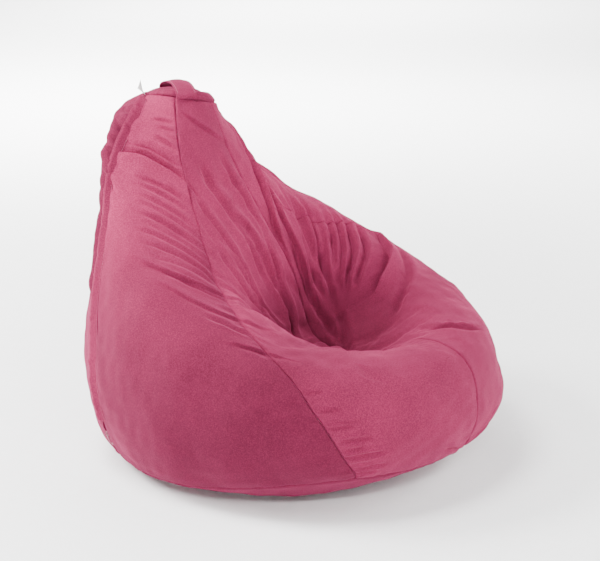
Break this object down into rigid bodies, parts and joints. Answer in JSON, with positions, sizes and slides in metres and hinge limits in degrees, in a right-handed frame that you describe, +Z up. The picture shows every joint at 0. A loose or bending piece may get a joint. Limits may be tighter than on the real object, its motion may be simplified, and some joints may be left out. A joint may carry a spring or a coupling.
{
  "type": "bean bag chair",
  "caption": "Pear-shaped bean bag chair in velour with a sat-in seat hollow, sewn gores, a carry handle on top, a zipped cover and a bead-filled inner bag.",
  "frame": {"origin": "on the floor under the middle of the bounding box", "axes": "+Z up, the sitter faces -Y, +X to the right seen from the front"},
  "size_m": [0.9017, 0.9069, 0.796],
  "materials": {
    "velour": "short-pile velour, raspberry rose",
    "velour_strap": "short-pile velour folded into a strap",
    "label_satin": "white satin ribbon, blank",
    "zip_tape": "woven polyester tape",
    "zip_coil": "nylon coil",
    "zip_metal": "nickel plated",
    "spunbond": "white spunbond",
    "liner_tape": "white woven tape",
    "beads": "expanded polystyrene beads"
  },
  "bodies": {
    "chair": {"gore_front_left": "velour", "gore_side_left": "velour", "gore_back_left": "velour", "gore_back_right": "velour", "gore_side_right": "velour", "gore_front_right": "velour", "crown_panel": "velour", "base_panel": "velour", "carry_handle": "velour_strap", "zip_placket": "velour", "zip_tape_front": "zip_tape", "zip_tape_rear": "zip_tape", "zip_coil_front": "zip_coil", "zip_coil_rear": "zip_coil", "zip_top_stop": "zip_metal", "zip_bottom_stop": "zip_metal", "liner_front_left": "spunbond", "liner_side_left": "spunbond", "liner_back_left": "spunbond", "liner_back_right": "spunbond", "liner_side_right": "spunbond", "liner_front_right": "spunbond", "liner_crown": "spunbond", "liner_base": "spunbond", "liner_zip_tape_left": "liner_tape", "liner_zip_tape_right": "liner_tape", "liner_zip_coil": "liner_tape", "bead_filling": "beads"},
    "zip_slider": {"zip_slider": "zip_metal"},
    "zip_pull": {"zip_pull": "zip_metal"},
    "care_label": {"care_label": "label_satin"},
    "liner_slider": {"liner_zip_slider": "zip_metal"},
    "liner_pull": {"liner_zip_pull": "zip_metal"}
  },
  "joints": [
    {"name": "zip_travel", "type": "hinge", "parent": "chair", "child": "zip_slider", "pos_m": [0.00314, 0.12333, 0.20334], "axis": [0.3087, 0.9409, -0.1396], "range_deg": [0, 17.4]},
    {"name": "zip_pull_swing", "type": "hinge", "parent": "zip_slider", "child": "zip_pull", "pos_m": [-0.37822, 0.23262, 0.08897], "axis": [-0.5229, -0.8494, 0.0721], "range_deg": [-160, 0]},
    {"name": "label_flap", "type": "hinge", "parent": "chair", "child": "care_label", "pos_m": [-0.06133, 0.35754, 0.76177], "axis": [-0.6691, -0.7431, 0], "range_deg": [-45, 36], "stiffness_Nm_per_rad": 0.002},
    {"name": "liner_zip_travel", "type": "hinge", "parent": "chair", "child": "liner_slider", "pos_m": [0.00822, 1.19298, 0.54503], "axis": [-0.9999, 0.0105, 0.0008], "range_deg": [0, 6.4]},
    {"name": "liner_pull_swing", "type": "hinge", "parent": "liner_slider", "child": "liner_pull", "pos_m": [0.00004, 0.42661, 0.46603], "axis": [-1, -0.0059, -0.0006], "range_deg": [-12, 0]}
  ]
}
